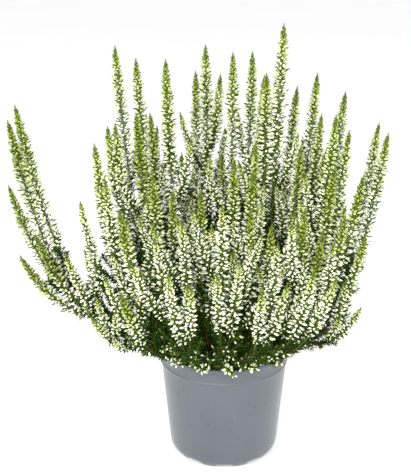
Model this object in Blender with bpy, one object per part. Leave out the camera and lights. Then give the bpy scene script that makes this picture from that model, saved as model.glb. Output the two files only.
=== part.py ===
"""Potted heather: a bud-blooming heather in a plain nursery pot 120 mm across.

The frame's origin is the middle of the pot's base, with +Z up and -Y towards the viewer.
Sizes below are in millimetres and become metres through MM.
"""

import math
import random

import bmesh
import bpy
from mathutils import Matrix, Vector

MM = 0.001
GAP = 0.35
SEED = 7

# Pot
RIM_RADIUS = 60.0
RIM_HEIGHT = 105.0
RIM_ROLL = 2.6
WALL = 1.3
LIP_DEPTH = 4.0
LIP_STEP = 1.4
RIDGE_HEIGHT = 90.0
RIDGE_BULGE = 0.9
RIDGE_HALF_WIDTH = 1.6
FOOT_RADIUS = 45.5
FOOT_CURVE = 8.0
FOOT_WALL_RADIUS = 50.0
FOOT_ROUND = 2.3
CENTRE_RADIUS = 30.0
CHANNEL_RADIUS = 41.0
CHANNEL_RISE = 3.0
CHANNEL_SLOPE = 1.0
FLOOR = 1.5
POT_SIDES = 30
DRAIN_HOLES = 6
DRAIN_RADIUS = 3.0
DRAIN_TURN = 11.0
FOOT_NOTCHES = 10
NOTCH_WIDTH = 9.0
NOTCH_HEIGHT = 2.2
CUTTER_DEPTH = 12.0
CUTTER_SIDES = 8
SMOOTH_ANGLE = 35.0

# Soil
SOIL_HEIGHT = 95.0
SOIL_DOME = 2.0
SOIL_BUMPS = 1.2
SOIL_RING_RADII = (48.0, 30.0, 12.0)
SOIL_SIDES = 20
HOLE_RADIUS = 6.6
HOLE_DEPTH = 24.0

# Woody base
TRUNK_RADIUS = 6.0
TRUNK_FOOT_RADIUS = 5.4
TRUNK_TOP = 110.0
TRUNK_SIDES = 8
BRANCH_START = 104.0
BRANCH_ROOT_RADIUS = 2.6
BRANCH_END_RADIUS = 1.3
BRANCH_SIDES = 5
BRANCH_RING_STEP = 19.0
# Bearings of the branches, from +X towards +Y in degrees. Each is as long as its sprays need.
BRANCH_BEARINGS = (10, 34, 60, 90, 118, 144, 165, 182, 199, 216, 233, 249, 264, 279, 294, 311, 331, 351)
BRANCH_END_HEIGHT = 113.0
BRANCH_CLIMB = 0.0045
BRANCH_LEVEL_REACH = 40.0
BRANCH_STEP = 1.6

# Every stem is a curve of second order that leaves its foot outwards and ends upright:
# its middle control point lies these shares of the way out and up from foot to tip.
SPIKE_SHARES = (0.6, 0.08)
BRANCH_SHARES = (0.62, 0.1)
SHOOT_SHARES = (0.6, 0.3)
STEM_RADIUS = 1.15
STEM_RING_STEP = 22.0
CURVE_STEPS = 60

# Cover of a flower spike: rings of points that stand for buds, larger than life
CORE_RADIUS = 1.5
TIP_CORE_RADIUS = 0.9
BUD_PITCH = 12.4
TIP_REACH = 2.4
SHOULDER_REACH = 5.2
SHOULDER_LENGTH = 30.0
FULL_REACH = 7.4
FULL_LENGTH = 78.0
BUD_DROOP = 3.0
BUD_STAGGER = 0.8
REACH_VARIES = (0.88, 1.1)
DROOP_VARIES = (0.8, 1.2)
GREEN_TIP = 30.0
BASE_TAPER = 26.0
BASE_SHARE = 0.6
FLOWERED_MOST = 130.0
FLOWERED_SHARE = 0.76
CROWN_SHARE = 0.6

# Tips of the flower spikes, in rows from the back to the front. Each row has its depth Y
# and its sprays: X and Z of the main tip, then for a forked spray those of the side tip.
SPIKE_ROWS = (
    (98, ((-68, 245, -40, 258), (24, 250, 56, 246))),
    (70, ((-98, 364), (-26, 340), (36, 338), (67, 326), (110, 323))),
    (38, ((-116, 248), (-78, 356), (-17, 369), (24, 362), (80, 345), (138, 299))),
    (4, ((-177, 324, -185, 310), (-191, 251), (-50, 362, -64, 316), (6, 366), (47, 392, 34, 350),
         (82, 314), (138, 300))),
    (-26, ((-108, 298, -91, 314), (-74, 322), (24, 300), (62, 294), (89, 322, 101, 308),
           (-163, 216, -179, 195))),
    (-52, ((-118, 257, -98, 275), (-60, 278, -44, 262), (-21, 266), (6, 290, 22, 278),
           (86, 286, 110, 278), (-134, 208, -118, 213))),
    (-78, ((-110, 166), (111, 171), (-84, 258), (-36, 248), (-4, 262), (36, 243, 19, 254),
           (61, 260, 76, 238), (94, 250, 112, 232))),
    (-104, ((-46, 214, -28, 202), (-84, 196), (27, 203, 47, 205), (-8, 212, 10, 219),
            (67, 218, 85, 210))),
)
STAGGER = 5.0
FOOT_SHARE = 0.62
STATION_STEP = 5.0
SPRAY_BIAS = 0.25

# Leafy shoots between the branches: bearing, plan reach and height of the tip
SHOOTS = (
    (75, 68, 132),
    (131, 72, 130),
    (173, 96, 132),
    (190, 104, 134),
    (207, 96, 128),
    (224, 90, 124),
    (241, 88, 122),
    (256, 84, 118),
    (271, 88, 121),
    (287, 84, 118),
    (302, 90, 123),
    (341, 92, 130),
)
SHOOT_STATION = 34.0
SHOOT_BIAS = 0.1
LEAF_CORE_RADIUS = 1.2
LEAF_REACH = 4.8
LEAF_RISE = 2.4
LEAF_PITCH = 8.0
LEAF_TAPER = 14.0
LEAFED_SHARE = 0.84
LEAF_BASE_SHARE = 0.4


# Helpers

def clear_scene():
    for item in list(bpy.data.objects):
        bpy.data.objects.remove(item, do_unlink=True)


def plain_material(name, colour, roughness):
    material = bpy.data.materials.new(name)
    material.use_nodes = True
    shader = material.node_tree.nodes["Principled BSDF"]
    shader.inputs["Base Color"].default_value = (*colour, 1.0)
    shader.inputs["Roughness"].default_value = roughness
    shader.inputs["Metallic"].default_value = 0.0
    material.diffuse_color = (*colour, 1.0)
    return material


def add_object(name, bm, material, smooth=False):
    bmesh.ops.recalc_face_normals(bm, faces=bm.faces[:])
    mesh = bpy.data.meshes.new(name)
    bm.to_mesh(mesh)
    bm.free()
    if smooth:
        mesh.shade_smooth()
        mesh.set_sharp_from_angle(angle=math.radians(SMOOTH_ANGLE))
    mesh.materials.append(material)
    item = bpy.data.objects.new(name, mesh)
    bpy.context.scene.collection.objects.link(item)
    return item


def polar(bearing, radius, height):
    angle = math.radians(bearing)
    return Vector((radius * math.cos(angle), radius * math.sin(angle), height))


def turned_body(profile, sides):
    """Spin a closed profile of (radius, height) points, millimetres, round the Z axis."""
    bm = bmesh.new()
    ring = [bm.verts.new(Vector((r, 0.0, z)) * MM) for r, z in profile]
    edges = [bm.edges.new((a, b)) for a, b in zip(ring, ring[1:])]
    bmesh.ops.spin(bm, geom=ring + edges, axis=(0, 0, 1), cent=(0, 0, 0),
                   steps=sides, angle=math.tau, use_duplicate=False)
    bmesh.ops.remove_doubles(bm, verts=bm.verts[:], dist=0.01 * MM)
    bmesh.ops.dissolve_degenerate(bm, dist=0.01 * MM, edges=bm.edges[:])
    return bm


def cone(foot_radius, top_radius, depth, sides):
    bm = bmesh.new()
    bmesh.ops.create_cone(bm, cap_ends=True, segments=sides, radius1=foot_radius * MM,
                          radius2=top_radius * MM, depth=depth * MM)
    return bm


def turn(bm, axis, degrees):
    matrix = Matrix.Rotation(math.radians(degrees), 3, axis)
    bmesh.ops.rotate(bm, verts=bm.verts[:], matrix=matrix, cent=(0, 0, 0))


def shift(bm, vector):
    bmesh.ops.translate(bm, verts=bm.verts[:], vec=vector * MM)


def keep_largest_body(mesh):
    """Drop the loose scraps that fusing can leave beside the main body."""
    bm = bmesh.new()
    bm.from_mesh(mesh)
    left = set(bm.verts)
    bodies = []
    while left:
        start = left.pop()
        body = {start}
        edge = [start]
        while edge:
            vert = edge.pop()
            near = {link.other_vert(vert) for link in vert.link_edges} & left
            left -= near
            body |= near
            edge.extend(near)
        bodies.append(body)
    bodies.sort(key=len)
    for body in bodies[:-1]:
        bmesh.ops.delete(bm, geom=list(body), context="VERTS")
    bm.to_mesh(mesh)
    bm.free()


def apply_boolean(item, others, operation):
    """Join or cut an object with others, apply the change and remove the others."""
    group = bpy.data.collections.new(item.name + "_tools")
    bpy.context.scene.collection.children.link(group)
    for other in others:
        group.objects.link(other)
        other.hide_render = True
        other.display_type = "WIRE"
    change = item.modifiers.new("change", "BOOLEAN")
    change.operation = operation
    change.operand_type = "COLLECTION"
    change.collection = group
    change.solver = "EXACT"
    bpy.context.view_layer.update()
    graph = bpy.context.evaluated_depsgraph_get()
    done = bpy.data.meshes.new_from_object(item.evaluated_get(graph))
    item.modifiers.clear()
    keep_largest_body(done)
    item.data = done
    for other in others:
        bpy.data.objects.remove(other, do_unlink=True)
    bpy.data.collections.remove(group)


# Pot and soil

def wall_radius(height):
    """Outer radius of the straight tapering wall at a height."""
    share = (height - FOOT_CURVE) / (RIM_HEIGHT - LIP_DEPTH - FOOT_CURVE)
    return FOOT_WALL_RADIUS + share * (RIM_RADIUS - LIP_STEP - FOOT_WALL_RADIUS)


def pot_profile():
    lip_foot = RIM_HEIGHT - LIP_DEPTH
    above = RIDGE_HEIGHT + RIDGE_HALF_WIDTH
    below = RIDGE_HEIGHT - RIDGE_HALF_WIDTH
    outside = [
        (RIM_RADIUS - RIM_ROLL, RIM_HEIGHT - RIM_ROLL / 4),
        (RIM_RADIUS - RIM_ROLL / 2, RIM_HEIGHT),
        (RIM_RADIUS, RIM_HEIGHT - RIM_ROLL / 2),
        (RIM_RADIUS, lip_foot + RIM_ROLL / 4),
        (wall_radius(lip_foot), lip_foot),
        (wall_radius(above), above),
        (wall_radius(RIDGE_HEIGHT) + RIDGE_BULGE, RIDGE_HEIGHT),
        (wall_radius(below), below),
        (FOOT_WALL_RADIUS, FOOT_CURVE),
        (FOOT_RADIUS + FOOT_ROUND, FOOT_ROUND),
        (FOOT_RADIUS, 0.0),
    ]
    underside = [
        (CHANNEL_RADIUS + CHANNEL_SLOPE, 0.0),
        (CHANNEL_RADIUS, CHANNEL_RISE),
        (CENTRE_RADIUS + CHANNEL_SLOPE, CHANNEL_RISE),
        (CENTRE_RADIUS, 0.0),
        (0.0, 0.0),
    ]
    inside = [
        (0.0, FLOOR),
        (CENTRE_RADIUS - CHANNEL_SLOPE, FLOOR),
        (CENTRE_RADIUS, CHANNEL_RISE + FLOOR),
        (FOOT_RADIUS + CHANNEL_SLOPE, CHANNEL_RISE + FLOOR),
        (FOOT_WALL_RADIUS - WALL, FOOT_CURVE + CHANNEL_SLOPE),
        (wall_radius(lip_foot) - WALL, lip_foot),
    ]
    profile = outside + underside + inside
    return profile + profile[:1]


def drain_cutter(index):
    hole = cone(DRAIN_RADIUS, DRAIN_RADIUS, CUTTER_DEPTH, CUTTER_SIDES)
    bearing = 360 * index / DRAIN_HOLES + DRAIN_TURN
    shift(hole, polar(bearing, (CENTRE_RADIUS + CHANNEL_RADIUS + CHANNEL_SLOPE) / 2, CHANNEL_RISE))
    return hole


def notch_cutter(index):
    notch = cone(NOTCH_WIDTH / 2, NOTCH_WIDTH / 2, CUTTER_DEPTH, CUTTER_SIDES)
    bearing = 360 * (index + 0.5) / FOOT_NOTCHES
    turn(notch, "Y", 90)
    bmesh.ops.scale(notch, verts=notch.verts[:], vec=(1, 1, 2 * NOTCH_HEIGHT / NOTCH_WIDTH))
    turn(notch, "Z", bearing)
    shift(notch, polar(bearing, FOOT_RADIUS, 0.0))
    return notch


def make_pot(material):
    pot = add_object("pot", turned_body(pot_profile(), POT_SIDES), material, smooth=True)
    cutters = [add_object(f"drain_{i}", drain_cutter(i), material) for i in range(DRAIN_HOLES)]
    cutters += [add_object(f"notch_{i}", notch_cutter(i), material) for i in range(FOOT_NOTCHES)]
    apply_boolean(pot, cutters, "DIFFERENCE")
    return pot


def make_soil(material):
    """The root ball: it follows the inside of the pot and has a plain hole for the trunk."""
    edge = wall_radius(SOIL_HEIGHT) - WALL - GAP
    base = CHANNEL_RISE + FLOOR + GAP
    hole_foot = SOIL_HEIGHT - HOLE_DEPTH
    profile = [
        (0.0, FLOOR + GAP),
        (CENTRE_RADIUS - CHANNEL_SLOPE - 2 * GAP, FLOOR + GAP),
        (CENTRE_RADIUS - 2 * GAP, base),
        (FOOT_RADIUS, base),
        (FOOT_WALL_RADIUS - WALL - 2 * GAP, FOOT_CURVE + CHANNEL_SLOPE),
        (edge - GAP / 2, SOIL_HEIGHT - SOIL_BUMPS),
    ]
    profile += [(radius, SOIL_HEIGHT) for radius in SOIL_RING_RADII]
    profile += [(HOLE_RADIUS, SOIL_HEIGHT), (HOLE_RADIUS, hole_foot), (0.0, hole_foot)]
    bm = turned_body(profile, SOIL_SIDES)
    rng = random.Random(SEED)
    for vert in bm.verts:
        radius = math.hypot(vert.co.x, vert.co.y) / MM
        if vert.co.z > (SOIL_HEIGHT - SOIL_BUMPS / 2) * MM and radius > HOLE_RADIUS + GAP:
            rise = SOIL_DOME * (1 - radius / edge) + rng.uniform(-SOIL_BUMPS, SOIL_BUMPS)
            vert.co.z += rise * MM
    return add_object("soil", bm, material, smooth=True)


# Curves that stems and branches follow

class Stem:
    """A curve of second order from a foot to a tip, measured along its length."""

    def __init__(self, foot, tip, shares):
        self.foot = foot
        self.tip = tip
        lean = tip - foot
        outward, upward = shares
        self.middle = foot + Vector((outward * lean.x, outward * lean.y, upward * lean.z))
        self.side = Vector((-lean.y, lean.x, 0.0)).normalized()
        self.shares = [i / CURVE_STEPS for i in range(CURVE_STEPS + 1)]
        points = [self.at(share) for share in self.shares]
        self.lengths = [0.0]
        for a, b in zip(points, points[1:]):
            self.lengths.append(self.lengths[-1] + (b - a).length)
        self.length = self.lengths[-1]

    def at(self, share):
        rest = 1 - share
        return rest * rest * self.foot + 2 * rest * share * self.middle + share * share * self.tip

    def direction(self, share):
        rest = 1 - share
        return (rest * (self.middle - self.foot) + share * (self.tip - self.middle)).normalized()

    def share_at(self, distance):
        for index in range(1, len(self.lengths)):
            if self.lengths[index] >= distance:
                low = self.lengths[index - 1]
                part = (distance - low) / (self.lengths[index] - low)
                return self.shares[index - 1] + part / CURVE_STEPS
        return 1.0

    def frame(self, distance):
        """Point, direction and the two cross directions at a distance along the stem."""
        share = self.share_at(distance)
        along = self.direction(share)
        return self.at(share), along, self.side, self.side.cross(along).normalized()


def ring_points(stem, distance, radius, turned, sides):
    centre, _, side, normal = stem.frame(distance)
    angles = [math.tau * index / sides + turned for index in range(sides)]
    return [centre + radius * (math.cos(a) * side + math.sin(a) * normal) for a in angles]


def smoothly(value):
    value = min(max(value, 0.0), 1.0)
    return value * value * (3 - 2 * value)


# Covered stems

def bare_stations(stem, covered):
    """Distances of the rings below the covered length, from the foot up."""
    bare = stem.length - covered
    steps = max(2, round(bare / STEM_RING_STEP))
    return [bare * i / steps for i in range(steps)]


def relief_stem(bm, stem, cover, rng):
    """A slim stem of three-cornered rings, each turned a sixth, whose cells rise to points.

    cover holds the length that is covered, the pitch of its rings and three functions of
    the distance from the tip: core radius, reach of the points and how far they droop.
    """
    covered, pitch, core, reach, droop = cover
    below = bare_stations(stem, covered)
    bands = max(2, round(covered / pitch))
    step = (covered - CROWN_SHARE * pitch) / bands
    stations = below + [stem.length - covered + step * i for i in range(bands + 1)]
    rings = []
    for index, distance in enumerate(stations):
        radius = STEM_RADIUS if index < len(below) else core(stem.length - distance)
        points = ring_points(stem, distance, radius, index * math.pi / 3, 3)
        rings.append([bm.verts.new(point * MM) for point in points])
    bm.faces.new(rings[0])
    for index, (low, high) in enumerate(zip(rings, rings[1:])):
        middle = (stations[index] + stations[index + 1]) / 2
        from_tip = stem.length - middle
        for corner in range(3):
            after = (corner + 1) % 3
            cells = ((low[corner], low[after], high[corner]), (low[after], high[after], high[corner]))
            for cell, rise in zip(cells, (-BUD_STAGGER, BUD_STAGGER)):
                if index < len(below):
                    bm.faces.new(cell)
                    continue
                fall = droop(from_tip) * rng.uniform(*DROOP_VARIES) - rise
                raise_cell(bm, cell, stem.frame(middle), reach(from_tip) * rng.uniform(*REACH_VARIES), fall)
    crown = bm.verts.new(stem.tip * MM)
    for corner in range(3):
        bm.faces.new((rings[-1][corner], rings[-1][(corner + 1) % 3], crown))


def raise_cell(bm, cell, frame, reach, fall):
    """Three faces that rise from a cell of the stem to a point, which hangs down by fall."""
    centre, along, _, _ = frame
    offset = sum((vert.co for vert in cell), Vector()) / 3 / MM - centre
    outward = (offset - offset.dot(along) * along).normalized()
    apex = bm.verts.new((centre + outward * reach + along * (offset.dot(along) - fall)) * MM)
    for a, b in zip(cell, cell[1:] + cell[:1]):
        bm.faces.new((a, b, apex))


def bud_cover(stem):
    flowered = min(FLOWERED_MOST, FLOWERED_SHARE * stem.length)

    def core(from_tip):
        return TIP_CORE_RADIUS + (CORE_RADIUS - TIP_CORE_RADIUS) * min(1.0, from_tip / GREEN_TIP)

    def reach(from_tip):
        if from_tip < SHOULDER_LENGTH:
            return TIP_REACH + (SHOULDER_REACH - TIP_REACH) * from_tip / SHOULDER_LENGTH
        share = (from_tip - SHOULDER_LENGTH) / (FULL_LENGTH - SHOULDER_LENGTH)
        full = SHOULDER_REACH + (FULL_REACH - SHOULDER_REACH) * min(1.0, share)
        return full * min(1.0, BASE_SHARE + (1 - BASE_SHARE) * (flowered - from_tip) / BASE_TAPER)

    def droop(from_tip):
        return BUD_DROOP * (2 * smoothly(from_tip / GREEN_TIP) - 1)

    return flowered, BUD_PITCH, core, reach, droop


def leaf_cover(stem):
    leafed = LEAFED_SHARE * stem.length

    def core(from_tip):
        return TIP_CORE_RADIUS + (LEAF_CORE_RADIUS - TIP_CORE_RADIUS) * min(1.0, from_tip / LEAF_TAPER)

    def reach(from_tip):
        full = TIP_REACH + (LEAF_REACH - TIP_REACH) * min(1.0, from_tip / LEAF_TAPER)
        from_base = (leafed - from_tip) / BASE_TAPER
        return full * min(1.0, LEAF_BASE_SHARE + (1 - LEAF_BASE_SHARE) * from_base)

    def droop(_):
        return -LEAF_RISE

    return leafed, LEAF_PITCH, core, reach, droop


def fused_stems(name, stems, cover, material, seed):
    """One solid of covered stems: the first, and the others that fork from it."""
    rng = random.Random(seed)
    items = []
    for index, stem in enumerate(stems):
        bm = bmesh.new()
        relief_stem(bm, stem, cover(stem), rng)
        items.append(add_object(name if index == 0 else f"{name}_fork_{index}", bm, material))
    if len(items) > 1:
        apply_boolean(items[0], items[1:], "UNION")
    return items[0]


# Woody base

def branch_stem(index, reach):
    bearing = BRANCH_BEARINGS[index]
    climb = BRANCH_CLIMB * max(0.0, reach - BRANCH_LEVEL_REACH) ** 2
    height = BRANCH_END_HEIGHT + climb + BRANCH_STEP * (index % 3)
    return Stem(polar(bearing, 1.0, BRANCH_START), polar(bearing, reach, height), BRANCH_SHARES)


def branch_radius(share):
    return BRANCH_ROOT_RADIUS + share * (BRANCH_END_RADIUS - BRANCH_ROOT_RADIUS)


def make_branch(stem, index, material):
    bm = bmesh.new()
    rings = []
    steps = max(3, round(stem.length / BRANCH_RING_STEP))
    for ring in range(steps + 1):
        share = ring / steps
        points = ring_points(stem, share * stem.length, branch_radius(share), 0.3, BRANCH_SIDES)
        rings.append([bm.verts.new(point * MM) for point in points])
    bm.faces.new(rings[0])
    bm.faces.new(rings[-1])
    for low, high in zip(rings, rings[1:]):
        for corner in range(BRANCH_SIDES):
            after = (corner + 1) % BRANCH_SIDES
            bm.faces.new((low[corner], low[after], high[after], high[corner]))
    return add_object(f"branch_{index}", bm, material)


def make_woody_base(stems, material):
    foot = SOIL_HEIGHT - HOLE_DEPTH + GAP
    trunk = cone(TRUNK_FOOT_RADIUS, TRUNK_RADIUS, TRUNK_TOP - foot, TRUNK_SIDES)
    shift(trunk, Vector((0.0, 0.0, (TRUNK_TOP + foot) / 2)))
    base = add_object("woody_base", trunk, material)
    branches = [make_branch(stem, index, material) for index, stem in enumerate(stems)]
    apply_boolean(base, branches, "UNION")
    return base


# Places of the sprays and shoots

def list_sprays():
    """Tips of each spray. In a row, every second spray stands a little nearer the viewer."""
    sprays = []
    for depth, entries in SPIKE_ROWS:
        for index, entry in enumerate(entries):
            y = depth + STAGGER * (1 if index % 2 else -1)
            tips = [Vector((entry[0], y, entry[1]))]
            if len(entry) > 2:
                tips.append(Vector((entry[2], y + STAGGER, entry[3])))
            sprays.append(tips)
    return sprays


def nearest_branch(bearing):
    offsets = [abs((bearing - other + 180) % 360 - 180) for other in BRANCH_BEARINGS]
    return offsets.index(min(offsets))


def seat_on(branch, distance, tip, shares, bias):
    """Foot of a stem that leaves a branch towards tip and stands clear of it by GAP."""
    share = branch.share_at(distance)
    centre = branch.at(share)
    along = branch.direction(share)
    trial = Stem(centre, tip, shares)
    leave = trial.direction(0.0)
    off = leave - leave.dot(along) * along + Vector((0, 0, bias))
    off = (off - off.dot(along) * along).normalized()
    nearest = min((point - centre).dot(off) for point in ring_points(trial, 0.0, STEM_RADIUS, 0.0, 3))
    return centre + off * (branch_radius(distance / branch.length) + GAP - nearest)


def place_sprays(sprays):
    """Branches as long as their sprays need, and each spray's tips with its foot on a branch."""
    groups = [[] for _ in BRANCH_BEARINGS]
    for tips in sprays:
        bearing = math.degrees(math.atan2(tips[0].y, tips[0].x))
        groups[nearest_branch(bearing)].append((tips[0].xy.length, tips))
    branches = []
    placed = []
    for index, group in enumerate(groups):
        group.sort(key=lambda pair: pair[0])
        stations = []
        distance = TRUNK_RADIUS
        for reach, _ in group:
            distance = max(distance + STATION_STEP, FOOT_SHARE * reach)
            stations.append(distance)
        branch = branch_stem(index, stations[-1])
        branches.append(branch)
        for (_, tips), station in zip(group[:-1], stations):
            placed.append((tips, seat_on(branch, station, tips[0], SPIKE_SHARES, SPRAY_BIAS)))
        placed.append((group[-1][1], branch.tip + 2 * GAP * branch.direction(1.0)))
    placed.sort(key=lambda pair: (pair[0][0].y, pair[0][0].x))
    return branches, placed


def make_spray(index, tips, foot, material):
    main_stem = Stem(foot, tips[0], SPIKE_SHARES)
    stems = [main_stem]
    if len(tips) > 1:
        fork = bare_stations(main_stem, bud_cover(main_stem)[0])[1]
        stems.append(Stem(main_stem.frame(fork)[0], tips[1], SPIKE_SHARES))
    return fused_stems(f"flower_spray_{index:02d}", stems, bud_cover, material, SEED * 1000 + index)


def make_shoot(index, entry, branches, material):
    tip = polar(*entry)
    branch = branches[nearest_branch(entry[0])]
    foot = seat_on(branch, SHOOT_STATION, tip, SPIKE_SHARES, SHOOT_BIAS)
    stem = Stem(foot, tip, SHOOT_SHARES)
    return fused_stems(f"leafy_shoot_{index:02d}", [stem], leaf_cover, material, SEED * 77 + index)


def main():
    clear_scene()
    pot_grey = plain_material("pot_grey", (0.235, 0.270, 0.305), 0.45)
    peat = plain_material("peat", (0.030, 0.018, 0.011), 0.95)
    bark = plain_material("bark", (0.105, 0.045, 0.022), 0.8)
    bud_white = plain_material("bud_white", (0.78, 0.80, 0.56), 0.55)
    needle_green = plain_material("needle_green", (0.055, 0.125, 0.020), 0.6)
    make_pot(pot_grey)
    make_soil(peat)
    branches, placed = place_sprays(list_sprays())
    make_woody_base(branches, bark)
    for index, (tips, foot) in enumerate(placed, start=1):
        make_spray(index, tips, foot, bud_white)
    for index, entry in enumerate(SHOOTS, start=1):
        make_shoot(index, entry, branches, needle_green)


main()
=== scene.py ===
# %% [markdown]
# # A potted heather
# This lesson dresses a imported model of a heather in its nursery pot. The solids say where
# every stem starts and ends. Here each stem gets its buds, needles and bark, and the pot and
# the peat get their finish. All lengths are in metres, with +Z up and -Y to the viewer.

# %% Load the frame
import math
import random

import bmesh
import bpy
import numpy as np
from mathutils import Matrix, Vector, noise


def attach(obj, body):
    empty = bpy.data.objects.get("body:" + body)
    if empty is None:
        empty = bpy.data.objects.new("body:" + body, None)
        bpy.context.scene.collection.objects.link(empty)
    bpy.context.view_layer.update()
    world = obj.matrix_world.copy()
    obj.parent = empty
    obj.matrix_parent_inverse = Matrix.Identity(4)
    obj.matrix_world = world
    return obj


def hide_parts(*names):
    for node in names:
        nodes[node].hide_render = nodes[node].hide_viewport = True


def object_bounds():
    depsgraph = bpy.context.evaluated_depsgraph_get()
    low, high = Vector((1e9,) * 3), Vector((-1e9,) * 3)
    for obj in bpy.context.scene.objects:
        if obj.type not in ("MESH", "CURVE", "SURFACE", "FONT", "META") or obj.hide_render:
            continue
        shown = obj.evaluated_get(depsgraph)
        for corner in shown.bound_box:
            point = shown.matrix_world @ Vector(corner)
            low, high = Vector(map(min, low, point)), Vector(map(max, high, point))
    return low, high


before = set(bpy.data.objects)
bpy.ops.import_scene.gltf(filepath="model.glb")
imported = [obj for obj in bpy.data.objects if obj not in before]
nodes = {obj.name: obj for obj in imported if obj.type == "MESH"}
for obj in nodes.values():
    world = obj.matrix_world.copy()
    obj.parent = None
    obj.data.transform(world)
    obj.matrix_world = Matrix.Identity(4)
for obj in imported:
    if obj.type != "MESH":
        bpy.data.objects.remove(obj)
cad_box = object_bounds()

MM = 0.001
SEED = 41
LOWEST, HIGHEST = Vector(cad_box[0]), Vector(cad_box[1])
print("solids:", len(nodes))
print("box:", cad_box)

# %% [markdown]
# ## Camera
# The plant was photographed on white, from a little above. The ellipses of the pot's rim and
# foot tell how far the lens looks down: about 19 degrees. A longish lens 0.9 m from the pot
# keeps its sides nearly straight. A second way would be to try views by eye, but two
# ellipses fix the angle at once.

# %% Place the camera
IMAGE_HEIGHT = 472
FOCAL_PIXELS = 917
LOOK_DOWN = math.radians(19.46)
CAMERA_PLACE = (-0.017, -0.762, 0.476)
camera_data = bpy.data.cameras.new("camera")
camera_data.sensor_width = 36.0
camera_data.lens = FOCAL_PIXELS / IMAGE_HEIGHT * camera_data.sensor_width
camera = bpy.data.objects.new("camera", camera_data)
bpy.context.scene.collection.objects.link(camera)
camera.location = CAMERA_PLACE
camera.rotation_euler = (math.pi / 2 - LOOK_DOWN, 0.0, 0.0)
bpy.context.scene.camera = camera
bpy.context.scene.view_settings.view_transform = "Standard"
print("lens %.1f mm" % camera_data.lens)

# %% [markdown]
# ## Light
# White buds only read as white when they are lit deep into the plant while the gaps between
# them stay dark. So a soft lamp stands behind and above the camera, where it reaches all that
# the camera sees, and two more stand left and right. A white sky adds an even light from all
# round. The floor is nearly as white as the sky, so both run into each other.


# %% Lamps
def soft_lamp(name, place, size, power, colour):
    """A round area lamp that looks at the middle of the plant."""
    data = bpy.data.lights.new(name, "AREA")
    data.shape = "DISK"
    data.size = size
    data.energy = power
    data.color = colour
    lamp = bpy.data.objects.new(name, data)
    bpy.context.scene.collection.objects.link(lamp)
    lamp.location = place
    lamp.rotation_euler = (PLANT_MIDDLE - lamp.location).to_track_quat("-Z", "Y").to_euler()
    print(name, "watts:", power)


PLANT_MIDDLE = Vector((0.0, 0.0, 0.2))
soft_lamp("front_lamp", (-0.1, -1.45, 0.95), 0.5, 16.0, (1.0, 1.0, 0.98))
soft_lamp("left_lamp", (-1.1, -1.0, 1.0), 0.5, 16.0, (1.0, 0.99, 0.96))
soft_lamp("right_lamp", (1.15, -0.8, 0.8), 0.7, 10.0, (0.98, 0.99, 1.0))

# %% Sky
world = bpy.data.worlds.new("white_sky")
world.use_nodes = True
world.node_tree.nodes.clear()
sky = world.node_tree.nodes.new("ShaderNodeBackground")
sky.inputs["Color"].default_value = (1.0, 1.0, 1.0, 1.0)
sky.inputs["Strength"].default_value = 1.0
sky_out = world.node_tree.nodes.new("ShaderNodeOutputWorld")
world.node_tree.links.new(sky.outputs["Background"], sky_out.inputs["Surface"])
bpy.context.scene.world = world
print("sky:", world.name)

# %% [markdown]
# ## Shared shader effects
# Nothing on a plant is one flat colour. Two effects serve several finishes: soft patches of
# lighter and darker tone, and small specks. Each is built once as a node group with named
# inputs, so every finish can place it with its own scale and strength.


# %% Start a node group
def new_group(name, inputs, outputs):
    """An empty shader group with its sockets. Inputs are (label, kind, value)."""
    group = bpy.data.node_groups.new(name, "ShaderNodeTree")
    for label, kind, value in inputs:
        socket = group.interface.new_socket(label, in_out="INPUT", socket_type=kind)
        socket.default_value = value
    for label, kind in outputs:
        group.interface.new_socket(label, in_out="OUTPUT", socket_type=kind)
    return group, group.nodes.new("NodeGroupInput"), group.nodes.new("NodeGroupOutput")


# %% Helpers for shader trees
def feed(tree, value, socket):
    """Set a socket from another socket, a colour or a number."""
    if isinstance(value, bpy.types.NodeSocket):
        tree.links.new(value, socket)
    elif isinstance(value, tuple):
        socket.default_value = (*value, 1.0)
    else:
        socket.default_value = value


def mix_colours(tree, share, first, second):
    mix = tree.nodes.new("ShaderNodeMix")
    mix.data_type = "RGBA"
    feed(tree, share, mix.inputs["Factor"])
    feed(tree, first, mix.inputs[6])
    feed(tree, second, mix.inputs[7])
    return mix.outputs[2]


def remap(tree, value, from_min, from_max, to_min=0.0, to_max=1.0):
    node = tree.nodes.new("ShaderNodeMapRange")
    labels = ("Value", "From Min", "From Max", "To Min", "To Max")
    for label, source in zip(labels, (value, from_min, from_max, to_min, to_max)):
        feed(tree, source, node.inputs[label])
    return node.outputs["Result"]


def calculate(tree, operation, first, second=0.0):
    node = tree.nodes.new("ShaderNodeMath")
    node.operation = operation
    feed(tree, first, node.inputs[0])
    feed(tree, second, node.inputs[1])
    return node.outputs["Value"]


def object_texture(tree, kind, scale):
    """A texture node that follows the object's own coordinates."""
    place = tree.nodes.new("ShaderNodeTexCoord")
    texture = tree.nodes.new(kind)
    feed(tree, place.outputs["Object"], texture.inputs["Vector"])
    feed(tree, scale, texture.inputs["Scale"])
    return texture


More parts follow.
